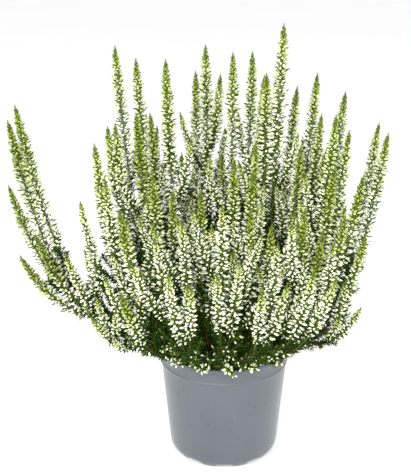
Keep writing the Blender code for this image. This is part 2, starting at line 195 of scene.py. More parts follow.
# %% Soft patches
def make_patches():
    """A colour varied by soft noise, between a darker and a lighter tone of itself."""
    group, start, end = new_group(
        "soft_patches",
        [("Color", "NodeSocketColor", (0.5, 0.5, 0.5, 1.0)), ("Scale", "NodeSocketFloat", 60.0),
         ("Dark", "NodeSocketFloat", 0.85), ("Light", "NodeSocketFloat", 1.1)],
        [("Color", "NodeSocketColor"), ("Mask", "NodeSocketFloat")])
    cloud = object_texture(group, "ShaderNodeTexNoise", start.outputs["Scale"])
    cloud.inputs["Detail"].default_value = 4.0
    spread = remap(group, cloud.outputs["Fac"], 0.3, 0.7, start.outputs["Dark"],
                   start.outputs["Light"])
    tone = group.nodes.new("ShaderNodeVectorMath")
    tone.operation = "SCALE"
    feed(group, start.outputs["Color"], tone.inputs[0])
    feed(group, spread, tone.inputs["Scale"])
    feed(group, tone.outputs["Vector"], end.inputs["Color"])
    feed(group, cloud.outputs["Fac"], end.inputs["Mask"])
    return group


PATCHES = make_patches()


# %% Small specks
def make_specks():
    """A mask of scattered specks: 1 inside a speck and 0 between them."""
    group, start, end = new_group(
        "small_specks",
        [("Scale", "NodeSocketFloat", 400.0), ("Amount", "NodeSocketFloat", 0.2),
         ("Size", "NodeSocketFloat", 0.3)],
        [("Mask", "NodeSocketFloat")])
    cells = object_texture(group, "ShaderNodeTexVoronoi", start.outputs["Scale"])
    near = remap(group, cells.outputs["Distance"], 0.0, start.outputs["Size"], 1.0, 0.0)
    chance = group.nodes.new("ShaderNodeSeparateColor")
    feed(group, cells.outputs["Color"], chance.inputs["Color"])
    picked = calculate(group, "LESS_THAN", chance.outputs["Red"], start.outputs["Amount"])
    feed(group, calculate(group, "MULTIPLY", near, picked), end.inputs["Mask"])
    return group


SPECKS = make_specks()
print("shared effects:", PATCHES.name, SPECKS.name)


# %% Helpers for finishes
def new_finish(name, roughness, specular):
    """A material with its node tree and its shader."""
    material = bpy.data.materials.new(name)
    material.use_nodes = True
    shader = material.node_tree.nodes["Principled BSDF"]
    shader.inputs["Roughness"].default_value = roughness
    shader.inputs["Specular IOR Level"].default_value = specular
    print("finish:", name)
    return material, material.node_tree, shader


def place_group(tree, group, **values):
    node = tree.nodes.new("ShaderNodeGroup")
    node.node_tree = group
    for label, value in values.items():
        feed(tree, value, node.inputs[label])
    return node


def paint(tree, shader, colour, height, strength, distance):
    """Feed a colour to the shader, and a height to the bump of its surface."""
    bump = tree.nodes.new("ShaderNodeBump")
    bump.inputs["Strength"].default_value = strength
    bump.inputs["Distance"].default_value = distance
    feed(tree, height, bump.inputs["Height"])
    feed(tree, bump.outputs["Normal"], shader.inputs["Normal"])
    feed(tree, colour, shader.inputs["Base Color"])


# %% [markdown]
# ## Finishes of the plant
# A closed heather bud is waxy: olive while it is smallest, then lime, then cream, and at last
# white on its outer half and green at its stalk. The needles are dark green low on a stem and
# lime near its tip, and painted shade darkens them the deeper they stand in the plant. A picture
# could paint this, but a number on each bud and needle is better: the modelling writes a vertex
# attribute called tint, whose red is a bud's age or a needle's freshness with its painted shade,
# green is the place along the bud, and blue is chance. One finish then colours thousands of parts.


# %% Read the tint attribute
def tint_parts(tree):
    read = tree.nodes.new("ShaderNodeAttribute")
    read.attribute_name = "tint"
    split = tree.nodes.new("ShaderNodeSeparateColor")
    feed(tree, read.outputs["Color"], split.inputs["Color"])
    return split.outputs["Red"], split.outputs["Green"], split.outputs["Blue"]


# %% Bud finish
def make_bud_finish():
    material, tree, shader = new_finish("waxy_bud", 0.42, 0.35)
    ripe, along, chance = tint_parts(tree)
    olive = mix_colours(tree, chance, (0.07, 0.11, 0.008), (0.12, 0.17, 0.016))
    lime = mix_colours(tree, chance, (0.34, 0.40, 0.055), (0.20, 0.26, 0.028))
    cream = mix_colours(tree, chance, (0.66, 0.70, 0.34), (0.46, 0.53, 0.15))
    white = mix_colours(tree, chance, (0.90, 0.91, 0.75), (0.84, 0.87, 0.62))
    young = mix_colours(tree, remap(tree, ripe, 0.0, 0.3), olive, lime)
    grown = mix_colours(tree, remap(tree, ripe, 0.3, 0.55), young, cream)
    outer = mix_colours(tree, remap(tree, ripe, 0.6, 0.95), grown, white)
    inner = mix_colours(tree, ripe, (0.06, 0.10, 0.005), (0.16, 0.22, 0.012))
    colour = mix_colours(tree, remap(tree, along, 0.14, 0.38), inner, outer)
    patches = place_group(tree, PATCHES, Color=colour, Scale=900.0, Dark=0.9, Light=1.05)
    paint(tree, shader, patches.outputs["Color"], patches.outputs["Mask"], 0.15, 0.0002)
    return material


BUD_FINISH = make_bud_finish()


# %% Needle finish
def make_needle_finish():
    material, tree, shader = new_finish("heather_needle", 0.55, 0.12)
    fresh, along, chance = tint_parts(tree)
    dark = mix_colours(tree, chance, (0.004, 0.018, 0.002), (0.018, 0.072, 0.005))
    lime = mix_colours(tree, chance, (0.17, 0.25, 0.006), (0.29, 0.37, 0.012))
    colour = mix_colours(tree, fresh, dark, lime)
    pale_end = remap(tree, along, 0.6, 1.0, 0.0, 0.3)
    pale_tone = mix_colours(tree, fresh, (0.032, 0.100, 0.010), (0.32, 0.41, 0.02))
    pale = mix_colours(tree, pale_end, colour, pale_tone)
    patches = place_group(tree, PATCHES, Color=pale, Scale=500.0, Dark=0.8, Light=1.15)
    paint(tree, shader, patches.outputs["Color"], patches.outputs["Mask"], 0.2, 0.0002)
    return material


NEEDLE_FINISH = make_needle_finish()


# %% Stem and bark finishes
def make_stem_finish():
    """A thin stem: red-brown and woody at its foot, green at its tip."""
    material, tree, shader = new_finish("heather_stem", 0.65, 0.15)
    young, _, chance = tint_parts(tree)
    wood = mix_colours(tree, chance, (0.06, 0.030, 0.013), (0.11, 0.060, 0.022))
    colour = mix_colours(tree, remap(tree, young, 0.1, 0.6), wood, (0.15, 0.21, 0.022))
    patches = place_group(tree, PATCHES, Color=colour, Scale=400.0, Dark=0.7, Light=1.25)
    paint(tree, shader, patches.outputs["Color"], patches.outputs["Mask"], 0.4, 0.0003)
    return material


def make_bark_finish():
    """Older wood: rough, patchy brown with darker specks."""
    material, tree, shader = new_finish("old_bark", 0.8, 0.2)
    patches = place_group(tree, PATCHES, Color=(0.046, 0.028, 0.016), Scale=230.0, Dark=0.5,
                          Light=1.4)
    specks = place_group(tree, SPECKS, Scale=700.0, Amount=0.35, Size=0.5)
    colour = mix_colours(tree, specks.outputs["Mask"], patches.outputs["Color"],
                         (0.03, 0.014, 0.008))
    paint(tree, shader, colour, patches.outputs["Mask"], 0.7, 0.0008)
    return material


STEM_FINISH = make_stem_finish()
BARK_FINISH = make_bark_finish()

# %% [markdown]
# ## The curve of a stem
# A heather stem leaves its foot outwards and ends upright. A curve of second order does just
# that: its middle control point lies far out and low. Measuring along its length instead of
# by its parameter keeps buds evenly spaced from foot to tip.

# %% Stem curve
SPIKE_SHARES = (0.6, 0.08)
SHOOT_SHARES = (0.6, 0.3)
BRANCH_SHARES = (0.62, 0.1)
CURVE_STEPS = 60


class Stem:
    """A curve from a foot to a tip. shares place its middle point outwards and upwards."""

    def __init__(self, foot, tip, shares):
        self.foot = foot
        self.tip = tip
        lean = tip - foot
        middle = foot + Vector((shares[0] * lean.x, shares[0] * lean.y, shares[1] * lean.z))
        side = Vector((-lean.y, lean.x, 0.0))
        self.side = side.normalized() if side.length > 1e-6 else Vector((1.0, 0.0, 0.0))
        self.points = []
        for step in range(CURVE_STEPS + 1):
            u = step / CURVE_STEPS
            self.points.append((1 - u) ** 2 * foot + 2 * u * (1 - u) * middle + u * u * tip)
        self.lengths = [0.0]
        for a, b in zip(self.points, self.points[1:]):
            self.lengths.append(self.lengths[-1] + (b - a).length)
        self.length = self.lengths[-1]

    def frame(self, distance):
        """Matrix of the place at a distance from the foot. Its Z axis runs along the stem."""
        distance = min(max(distance, 0.0), self.length)
        index = min(max(int(np.searchsorted(self.lengths, distance)), 1), CURVE_STEPS)
        low = self.lengths[index - 1]
        part = (distance - low) / (self.lengths[index] - low)
        a, b = self.points[index - 1], self.points[index]
        along = (b - a).normalized()
        turn = Matrix((self.side, along.cross(self.side), along)).transposed()
        return Matrix.Translation(a.lerp(b, part)) @ turn.to_4x4()


def ease(value):
    """0 to 1 with a soft start and end."""
    value = min(max(value, 0.0), 1.0)
    return value * value * (3 - 2 * value)


# %% [markdown]
# ## Reading the stems from the solids
# Each spray's solid starts at a small three-cornered foot and ends in a point. The foot is
# its only face with three equal sides of 2 mm, and the tip is the corner farthest from it. A
# forked spray also has corners far off that stem, and the farthest of them is its second tip.

# %% Feet and tips
FOOT_SIDE = 1.15 * math.sqrt(3) * MM
SIDE_TOLERANCE = 0.02 * MM
OFF_STEM = 9.5 * MM
# Buds and needles need a little room between a tip and the box of the solids
TIP_ROOM = Vector((2.0, 3.0, 1.0)) * MM
FLOWERED_MOST = 130 * MM
FLOWERED_SHARE = 0.76
RING_STEP = 22 * MM


def read_foot(node):
    bm = bmesh.new()
    bm.from_mesh(node.data)
    bmesh.ops.remove_doubles(bm, verts=bm.verts[:], dist=0.001 * MM)
    foot = None
    for face in bm.faces:
        sides = [edge.calc_length() for edge in face.edges]
        if len(sides) == 3 and all(abs(side - FOOT_SIDE) < SIDE_TOLERANCE for side in sides):
            foot = face.calc_center_median().copy()
            break
    bm.free()
    if foot is None:
        raise ValueError(node.name + " has no foot")
    return foot


def pull_in(tip):
    """Move a tip inwards where buds round it would leave the box of the solids."""
    low = LOWEST + TIP_ROOM
    high = HIGHEST - TIP_ROOM
    return Vector(min(max(value, a), b) for a, value, b in zip(low, tip, high))


def fork_distance(stem):
    """Where a second spike leaves a stem: at the first ring of its bare length."""
    bare = stem.length - min(FLOWERED_MOST, FLOWERED_SHARE * stem.length)
    return bare / max(2, round(bare / RING_STEP))


def read_stems(node, shares):
    """The stem of a solid, and the one that forks from it where there is one."""
    foot = read_foot(node)
    corners = np.array([tuple(v.co) for v in node.data.vertices])
    from_foot = np.linalg.norm(corners - np.array(foot), axis=1)
    main = Stem(foot, Vector(corners[int(from_foot.argmax())]), shares)
    line = np.array([tuple(point) for point in main.points])
    off_line = np.linalg.norm(corners[:, None, :] - line[None, :, :], axis=2).min(axis=1)
    apart = off_line > OFF_STEM
    stems = [Stem(foot, pull_in(main.tip), shares)]
    if apart.any():
        tip = Vector(corners[int(np.where(apart, from_foot, 0.0).argmax())])
        fork = stems[0].frame(fork_distance(main)).translation
        stems.append(Stem(fork, pull_in(tip), shares))
    return stems


spray_names = sorted(name for name in nodes if name.startswith("flower_spray"))
shoot_names = sorted(name for name in nodes if name.startswith("leafy_shoot"))
spray_stems = {name: read_stems(nodes[name], SPIKE_SHARES) for name in spray_names}
shoot_stems = {name: read_stems(nodes[name], SHOOT_SHARES)[0] for name in shoot_names}
print("sprays:", len(spray_names), "spikes:", sum(len(s) for s in spray_stems.values()))
print("leafy shoots:", len(shoot_names))

# %% [markdown]
# ## Branches and the outline of the plant
# Eighteen branches leave the short trunk just over the peat and carry the sprays: one for each
# bearing, up to the foot of its outermost spray. Branches and stems together also tell how far
# out the plant reaches at each height, and every twig added later is kept within that outline.

# %% Branch curves
BRANCH_BEARINGS = (10, 34, 60, 90, 118, 144, 165, 182, 199, 216, 233, 249, 264, 279, 294, 311,
                   331, 351)
BRANCH_START = 104 * MM


def nearest_branch(point):
    bearing = math.degrees(math.atan2(point.y, point.x))
    offsets = [abs((bearing - other + 180) % 360 - 180) for other in BRANCH_BEARINGS]
    return offsets.index(min(offsets))


def branch_curves():
    """A curve for each bearing, from the trunk to the foot of the outermost spray."""
    ends = {}
    for stems in spray_stems.values():
        index = nearest_branch(stems[0].foot)
        foot = stems[0].foot
        if index not in ends or foot.xy.length > ends[index].xy.length:
            ends[index] = foot
    curves = []
    for index, end in sorted(ends.items()):
        angle = math.radians(BRANCH_BEARINGS[index])
        root = Vector((math.cos(angle) * MM, math.sin(angle) * MM, BRANCH_START))
        curves.append(Stem(root, end, BRANCH_SHARES))
    return curves


branches = branch_curves()
print("branches:", len(branches))

# %% Outline of the plant
SECTORS = 24
LEVEL = 10 * MM
CORE_RADIUS = 30 * MM
BOX_MARGIN = 6 * MM
RIM_ZONE = 50 * MM
RIM_CLEAR = 110 * MM


def outline_key(point):
    """Which sector and which level a point lies in."""
    sector = round(math.atan2(point.y, point.x) / math.tau * SECTORS)
    return sector % SECTORS, round(point.z / LEVEL)


def read_outline():
    """The farthest that any stem or branch reaches, for each sector and level."""
    reach = {}
    for curve in branches + [stem for stems in spray_stems.values() for stem in stems]:
        for point in curve.points:
            sector, level = outline_key(point)
            for near in (sector - 1, sector, sector + 1):
                key = (near % SECTORS, level)
                reach[key] = max(reach.get(key, 0.0), point.xy.length)
    return reach


plant_outline = read_outline()
print("outline entries:", len(plant_outline))


def in_box(point, margin):
    return all(low + margin < value < high - margin
               for low, value, high in zip(LOWEST, point, HIGHEST))


def fits(point, margin=0.0):
    """Whether a twig may end here: over the rim and within the outline of the plant."""
    radius = point.xy.length
    if not in_box(point, BOX_MARGIN) or (radius > RIM_ZONE and point.z < RIM_CLEAR):
        return False
    return radius < CORE_RADIUS or radius + margin < plant_outline.get(outline_key(point), 0.0)


# %% [markdown]
# ## Bud, bract and needle
# A full-grown bud is a closed egg on a stalk that widens into it, 5 to 8 mm long in all. A young
# one is smaller and widest nearer its foot. A bract is a small leaf, widest near its end, and a
# needle is a narrow blade. Buds and bracts are spun round their axis, as on a lathe, and a
# needle is a slim three-sided cone. They have only a few faces, because thousands of them
# follow and each is a few pixels large. Length and thickness are both 1 here, so each copy
# can get its own.


# %% Lathe small shapes
def lathe(profile, steps):
    """A closed shape from (radius, height) points, the first and last on the axis."""
    bm = bmesh.new()
    points = [bm.verts.new((radius, 0.0, height)) for radius, height in profile]
    edges = [bm.edges.new(pair) for pair in zip(points, points[1:])]
    bmesh.ops.spin(bm, geom=points + edges, axis=(0, 0, 1), cent=(0, 0, 0), steps=steps,
                   angle=math.tau, use_merge=True)
    bmesh.ops.remove_doubles(bm, verts=bm.verts[:], dist=1e-5)
    bmesh.ops.recalc_face_normals(bm, faces=bm.faces[:])
    return bm


def plain_blade():
    """A three-sided spike of length 1."""
    bm = bmesh.new()
    bmesh.ops.create_cone(bm, cap_ends=True, segments=3, radius1=0.5, radius2=0.0, depth=1.0)
    bmesh.ops.translate(bm, verts=bm.verts[:], vec=(0.0, 0.0, 0.5))
    return bm


RIPE_BUD = ((0.0, 0.0), (0.36, 0.38), (0.50, 0.68), (0.0, 1.0))
YOUNG_BUD = ((0.0, 0.0), (0.46, 0.32), (0.42, 0.68), (0.0, 1.0))
BRACT = ((0.0, 0.0), (0.5, 0.68), (0.0, 1.0))


class Stamp:
    """A small shape along +Z that is pressed many times into a larger mesh."""

    def __init__(self, name, bm):
        self.mesh = bpy.data.meshes.new(name)
        for face in bm.faces:
            face.smooth = True
        bm.to_mesh(self.mesh)
        bm.free()
        count = len(self.mesh.vertices)
        self.rest = np.empty(count * 3, np.float32)
        self.mesh.vertices.foreach_get("co", self.rest)
        self.colours = np.ones((count, 4), np.float32)
        self.colours[:, 1] = self.rest[2::3]
        self.tint = self.mesh.attributes.new("tint", "FLOAT_COLOR", "POINT")

    def press(self, target, matrix, ripe):
        if not in_box(matrix @ Vector((0.0, 0.0, 1.0)), END_MARGIN):
            return
        self.mesh.vertices.foreach_set("co", self.rest)
        self.mesh.transform(matrix)
        self.colours[:, 0] = ripe
        self.colours[:, 2] = rng.random()
        self.tint.data.foreach_set("color", self.colours.ravel())
        target.from_mesh(self.mesh, face_normals=False, vertex_normals=False)


END_MARGIN = 0.5 * MM
rng = random.Random(SEED)
ripe_bud = Stamp("ripe_bud", lathe(RIPE_BUD, 5))
side_bud = Stamp("side_bud", lathe(RIPE_BUD, 4))
young_bud = Stamp("young_bud", lathe(YOUNG_BUD, 4))
bract = Stamp("bract", lathe(BRACT, 3))
needle = Stamp("needle", plain_blade())
for stamp in (ripe_bud, side_bud, young_bud, bract, needle):
    print(stamp.mesh.name, "faces:", len(stamp.mesh.polygons))

# %% [markdown]
# ## Buds round a stem
# Leaves and buds stand in a spiral: each one is 137.5 degrees round from the last, which
# covers every side evenly. Near the tip they are small, close and point up. Lower down they
# are full size, stand straight out and then hang. The tables below are read off the
# photograph: a spike is 1 mm wide at its tip, 9 mm wide 18 mm lower, and 16 mm at 70 mm.

# %% Tables along a spike
GOLDEN_ANGLE = math.radians(137.5)
STEM_SURFACE = 0.5 * MM
FROM_TIP = [value * MM for value in (0, 4, 10, 18, 28, 42, 70, 160)]
REACH = [value * MM for value in (0.6, 1.5, 3.0, 4.3, 5.4, 7.0, 8.0, 8.2)]
BUD_LEAN = [math.radians(value) for value in (20, 32, 44, 50, 56, 66, 86, 106)]
BUD_WIDTH = [value * MM for value in (0.9, 1.3, 1.8, 2.0, 2.1, 2.2, 2.3, 2.3)]
BUD_STEP = [value * MM for value in (0.50, 0.46, 0.46, 0.49, 0.53, 0.59, 0.74, 0.94)]
RIPENESS = [0.0, 0.0, 0.20, 0.46, 0.57, 0.70, 0.92, 1.0]
FIRST_BUD = 4 * MM
YOUNG_LENGTH = 15 * MM
LIME = 0.3
RIPE_SCATTER = 0.14
# The lowest buds of a spike get smaller over this length
SHRINK_LENGTH = 12 * MM


def place_on(stem, distance, turn, lean, length, width):
    """Matrix of a part on a stem's surface: turned round it, leaning from it, scaled."""
    spot = stem.frame(distance) @ Matrix.Rotation(turn, 4, "Z")
    out = Matrix.Translation((STEM_SURFACE, 0.0, 0.0)) @ Matrix.Rotation(lean, 4, "Y")
    return spot @ out @ Matrix.Diagonal((width, width, length, 1.0))


def ripeness(from_tip, green, pace):
    """0 is an olive bud, 0.3 a lime one, 0.5 a cream one and 1 a white one."""
    young = min(LIME, np.interp(from_tip, FROM_TIP, RIPENESS))
    older = np.interp((from_tip - green) * pace, FROM_TIP, RIPENESS)
    return min(1.0, max(0.0, max(young, older) + rng.uniform(-1, 1) * RIPE_SCATTER))


def set_buds(target, stem, covered, green, pace, grown=ripe_bud):
    """Buds from the tip down. They stay lime over the length green, then ripen at a pace."""
    from_tip = FIRST_BUD
    turn = rng.uniform(0.0, math.tau)
    while from_tip < covered:
        shrink = min(1.0, 0.55 + 0.45 * (covered - from_tip) / SHRINK_LENGTH)
        lean = np.interp(from_tip, FROM_TIP, BUD_LEAN)
        length = (np.interp(from_tip, FROM_TIP, REACH) - STEM_SURFACE) / math.sin(lean)
        length *= shrink * rng.uniform(0.70, 1.08)
        width = np.interp(from_tip, FROM_TIP, BUD_WIDTH) * shrink * rng.uniform(0.85, 1.1)
        lean += rng.uniform(-0.3, 0.3)
        ripe = ripeness(from_tip, green, pace)
        kind = young_bud if from_tip < YOUNG_LENGTH else grown
        kind.press(target, place_on(stem, stem.length - from_tip, turn, lean, length, width), ripe)
        turn += GOLDEN_ANGLE + rng.uniform(-0.3, 0.3)
        from_tip += np.interp(from_tip, FROM_TIP, BUD_STEP) * rng.uniform(0.8, 1.2)


# %% Bracts between the buds
FIRST_BRACT = 5 * MM
BRACT_STEPS = [value * MM for value in (0.6, 0.6, 0.5, 0.45, 0.42, 0.42, 0.5, 0.8)]
BRACT_TONES = [1.0, 1.0, 1.0, 1.0, 0.9, 0.7, 0.4, 0.2]
BRACT_WIDTH = 1.35 * MM
BRACT_LEANS = (42, 82)


def set_bracts(target, stem, covered):
    """Small green leaves between the buds. Short ones are lime and long ones dark."""
    from_tip = FIRST_BRACT
    turn = rng.uniform(0.0, math.tau)
    while from_tip < covered:
        lean = math.radians(rng.uniform(*BRACT_LEANS))
        share = rng.uniform(0.5, 1.1)
        length = np.interp(from_tip, FROM_TIP, REACH) * share
        matrix = place_on(stem, stem.length - from_tip, turn, lean, length, BRACT_WIDTH)
        lime = 0.8 * max(0.0, 1.0 - share) * np.interp(from_tip, FROM_TIP, BRACT_TONES)
        bract.press(target, matrix, lime + rng.uniform(0.0, 0.12))
        turn += GOLDEN_ANGLE
        from_tip += np.interp(from_tip, FROM_TIP, BRACT_STEPS) * rng.uniform(0.8, 1.2)


# %% Needles along a stem
NEEDLE_WIDTH = 0.26


def set_needles(target, stem, start, end, step, length, leans, fresh):
    """Needles between two distances from the foot. fresh gives their tone at a distance."""
    distance = start
    turn = rng.uniform(0.0, math.tau)
    while distance < end:
        lean = math.radians(rng.uniform(*leans))
        size = length * rng.uniform(0.75, 1.15)
        matrix = place_on(stem, distance, turn, lean, size, size * NEEDLE_WIDTH)
        needle.press(target, matrix, fresh(distance) * rng.uniform(0.55, 1.0))
        turn += GOLDEN_ANGLE + rng.uniform(-0.2, 0.2)
        distance += step * rng.uniform(0.85, 1.15)


# %% [markdown]
# ## Stems
# A stem is a thin tube. It starts as a closed circle at its foot, which is extruded again and
# again along the curve, each new ring square to it and a little thinner. A row of separate
# cylinders would gape at every bend, and extruding keeps the tube closed.


# %% Grow a tube
TUBE_MESH = bpy.data.meshes.new("tube")


def colour_ring(layer, verts, young, chance):
    for vert in verts:
        vert[layer] = (young, 0.5, chance, 1.0)


def grow_tube(target, stem, foot_radius, tip_radius, sides, steps):
    bm = bmesh.new()
    layer = bm.verts.layers.float_color.new("tint")
    chance = rng.random()
    before = stem.frame(0.0)
    made = bmesh.ops.create_circle(bm, cap_ends=True, radius=foot_radius, segments=sides,
                                   matrix=before)
    colour_ring(layer, made["verts"], 0.0, chance)
    foot = bm.faces[:][0]
    foot.normal_flip()
    edges = foot.edges[:]
    radius = foot_radius
    for step in range(1, steps + 1):
        grown = bmesh.ops.extrude_edge_only(bm, edges=edges)["geom"]
        verts = [item for item in grown if isinstance(item, bmesh.types.BMVert)]
        edges = [item for item in grown if isinstance(item, bmesh.types.BMEdge)
                 and item.verts[0] in verts and item.verts[1] in verts]
        after = stem.frame(stem.length * step / steps)
        wanted = foot_radius + (tip_radius - foot_radius) * step / steps
        move = after @ Matrix.Scale(wanted / radius, 4) @ before.inverted()
        bmesh.ops.transform(bm, matrix=move, verts=verts)
        colour_ring(layer, verts, step / steps, chance)
        before = after
        radius = wanted
    bmesh.ops.contextual_create(bm, geom=edges)
    bmesh.ops.recalc_face_normals(bm, faces=bm.faces[:])
    bm.to_mesh(TUBE_MESH)
    bm.free()
    target.from_mesh(TUBE_MESH, face_normals=False, vertex_normals=False)


# %% Turn a mesh into a piece
made_triangles = []


def finish_piece(name, bm, material, slot, replaced=()):
    """Put a bmesh in the scene as a piece that rides on the plant and stands for solids."""
    for face in bm.faces:
        face.smooth = True
    mesh = bpy.data.meshes.new(name)
    bm.to_mesh(mesh)
    bm.free()
    mesh.materials.append(material)
    piece = bpy.data.objects.new(name, mesh)
    bpy.context.scene.collection.objects.link(piece)
    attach(piece, "root")
    if replaced:
        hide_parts(*replaced)
    triangles = sum(len(face.vertices) - 2 for face in mesh.polygons)
    made_triangles.append(triangles)
    print(name, "triangles:", triangles)


# %% Kits of buds, needles and stems
def new_kit():
    return bmesh.new(), bmesh.new(), bmesh.new()


def finish_kit(names, kit, replaced=()):
    """Turn the three meshes of a kit into pieces, each with its finish."""
    finishes = ((BUD_FINISH, "buds"), (NEEDLE_FINISH, "needles"), (STEM_FINISH, "bark"))
    for name, bm, (material, slot) in zip(names, kit, finishes):
        finish_piece(name, bm, material, slot, replaced)


# %% [markdown]
# ## The flower sprays
# Forty-five sprays would make a long list of objects, so they are gathered in groups with
# three pieces each: buds, needles and stems. Buds start just under the tip and run down most
# of the stem, with small bracts between them. Lime needles lie close to the stem and give each
# spike its yellow-green core. Below the buds the needles are longer, dark and dense, with painted
# shade that darkens them the lower their stem's foot stands, and so the heart of the plant is
# dark green.

# %% Cover one spike
BUDDED_SHARE = 0.80
LOW_BUDDED_SHARE = 0.63
LOW_TIP = 230 * MM
BUDDED_MOST = 135 * MM
# The sprays that end farthest out carry buds almost down to their feet, and stay green longer
FAR_RADIUS = 150 * MM
FAR_BUDDED_SHARE = 0.9
FAR_BUDDED_MOST = 180 * MM
FAR_GREEN = 34 * MM
# Distances from the tip, and the tones of the needles between the buds there: on most spikes,
# on those whose buds are green over more than LONG_GREEN, and on side spikes
CORE_PLACES = [value * MM for value in (5, 16, 80, 160)]
CORE_TONES = (0.1, 0.8, 0.3, 0.1)
GREEN_TONES = (0.5, 0.8, 0.3, 0.1)
SIDE_TONES = (0.1, 0.5, 0.2, 0.1)
LONG_GREEN = 12 * MM
GREEN_SPREAD = 5 * MM
# A low spike ripens over a shorter length than a high one
HIGH_TIP = 310 * MM
LOW_PACE = 3.0
# Painted shade: needles on stems whose feet stand lower than LIGHT_HEIGHT are darker, darkest
# under DARK_HEIGHT
DARK_HEIGHT = 160 * MM
LIGHT_HEIGHT = 290 * MM
# Sprays whose tips are still green over a good length, in millimetres from the tip
GREEN_TIPS = {4: 20, 7: 22, 9: 28, 11: 14, 12: 16, 15: 20, 16: 24, 18: 18, 19: 14, 24: 46,
              25: 20, 27: 16}
# Step, length and leans of the needles below the buds, between them and at the tip
LOW_NEEDLES = (0.5 * MM, 5.5 * MM, (38, 68))
CORE_NEEDLES = (0.63 * MM, 3.4 * MM, (25, 60))
TIP_NEEDLES = (0.45 * MM, 2.0 * MM, (8, 24))
STEM_TIP_RADIUS = 0.35 * MM


def painted_shade_tone(point):
    """Tone of needles away from the tips, with painted shade: darker the deeper they stand in the
    plant.
    """
    return 0.05 + 0.3 * ease((point.z - DARK_HEIGHT) / (LIGHT_HEIGHT - DARK_HEIGHT))


def cover_spike(stem, green, kit, pace, budded, foot_radius=1.1 * MM, rings=12, side=False):
    """Buds, needles and a tube for a stem, into the three meshes of a kit."""
    buds, needles, tubes = kit
    far = stem.tip.xy.length > FAR_RADIUS
    covered = min(FAR_BUDDED_MOST if far else BUDDED_MOST, budded * stem.length)
    bare = stem.length - covered
    shade = painted_shade_tone(stem.foot)
    core_tones = GREEN_TONES if green > LONG_GREEN else CORE_TONES
    if side:
        core_tones = SIDE_TONES

    def core(distance):
        return np.interp(stem.length - distance, CORE_PLACES, core_tones)

    set_buds(buds, stem, covered, green, pace, side_bud if side else ripe_bud)
    set_bracts(needles, stem, covered)
    core_start = bare + 12 * MM
    set_needles(needles, stem, 2 * MM, core_start, *LOW_NEEDLES, lambda distance: shade)
    set_needles(needles, stem, core_start, stem.length - 12 * MM, *CORE_NEEDLES, core)
    set_needles(needles, stem, stem.length - 14 * MM, stem.length - 1.5 * MM, *TIP_NEEDLES, core)
    grow_tube(tubes, stem, foot_radius, STEM_TIP_RADIUS, 5, rings)


# %% [markdown]
# A spray isn't bare below its flowers: short side spikes leave it on all sides and bend
# upwards. They are what makes the middle of the plant a dense white mass. Each is grown like
# its parent, only shorter, and is kept only where it ends within the outline of the plant.

# %% Side spikes
SIDE_TRIES = 5
SIDE_MARGIN = 2 * MM
SIDE_PACE = 4.2
SIDE_BUDDED = 0.82
SIDE_RADIUS = 0.7 * MM
SIDE_LEANS = (0.4, 0.75)
SIDE_RISE = 0.4
# Place along the stem and greatest length of each side spike
SIDE_SPIKES = ((0.24, 60 * MM), (0.35, 66 * MM), (0.46, 56 * MM), (0.57, 50 * MM))
# Only the tall sprays of the middle have the last one
TALL_TIP = 312 * MM
INNER_RADIUS = 85 * MM
# On sprays that end this far out the side spikes get shorter, by this share at most
OPEN_RADIUS = 115 * MM
OPEN_SPAN = 50 * MM
OPEN_LOSS = 0.65
# The barest sprays have one side spike only
BARE_ROOM = 0.5
# These stand beside gaps that stay open
GAP_SPRAYS = (14, 17, 29, 33, 38)
GAP_ROOM = 0.45
# Four more show clearly. Spray number: (place along the stem, tip in millimetres)
SHOWN_SPIKES = {34: (0.62, (-4, 33, 344)), 20: (0.6, (-97, -28, 312)), 32: (0.6, (87, 5, 285)),
                31: (0.4, (-3, 20, 278))}


def side_twig(stem, distance, turn, lean, length, rise=0.25):
    """A curve that leaves a stem sideways and bends upwards."""
    spot = stem.frame(distance) @ Matrix.Rotation(turn, 4, "Z") @ Matrix.Rotation(lean, 4, "Y")
    tip = spot.translation + spot.to_3x3() @ Vector((0.0, 0.0, length))
    tip.z += rise * length
    return Stem(spot.translation, tip, SHOOT_SHARES)


def twigs_along(stem, start, end, step, leans, lengths):
    """Twigs at random bearings along a stem. leans are in radians and lengths in mm."""
    distance = start
    while distance < end:
        turn = rng.uniform(0, math.tau)
        lean = rng.uniform(*leans)
        yield side_twig(stem, distance, turn, lean, rng.uniform(*lengths) * MM)
        distance += step * rng.uniform(0.7, 1.3)


def set_side_spikes(stem, kit, number):
    turn = rng.uniform(0.0, math.tau)
    room = 1 - OPEN_LOSS * ease((stem.tip.xy.length - OPEN_RADIUS) / OPEN_SPAN)
    if number in GAP_SPRAYS:
        room = GAP_ROOM
    count = 3
    if room < BARE_ROOM:
        count = 1
    elif stem.tip.z > TALL_TIP and stem.tip.xy.length < INNER_RADIUS:
        count = 4
    for place, longest in SIDE_SPIKES[:count]:
        distance = stem.length * (place + rng.uniform(-0.05, 0.05))
        length = room * longest * rng.uniform(0.7, 1.0)
        for _ in range(SIDE_TRIES):
            turn += GOLDEN_ANGLE
            lean = rng.uniform(*SIDE_LEANS)
            twig = side_twig(stem, distance, turn, lean, length, SIDE_RISE)
            if fits(twig.tip, SIDE_MARGIN):
                green = rng.uniform(0, 5) * MM
                cover_spike(twig, green, kit, SIDE_PACE, SIDE_BUDDED, SIDE_RADIUS, 6, True)
                break


def set_shown_spike(number, stem, kit):
    """A side spike that leaves a stem at one place and ends at another."""
    place, tip = SHOWN_SPIKES[number]
    foot = stem.frame(stem.length * place).translation
    twig = Stem(foot, Vector(tip) * MM, SPIKE_SHARES)
    cover_spike(twig, 0.0, kit, 1.0, SIDE_BUDDED, SIDE_RADIUS, 8)


# %% Build the sprays in groups
GROUP_SIZE = 5


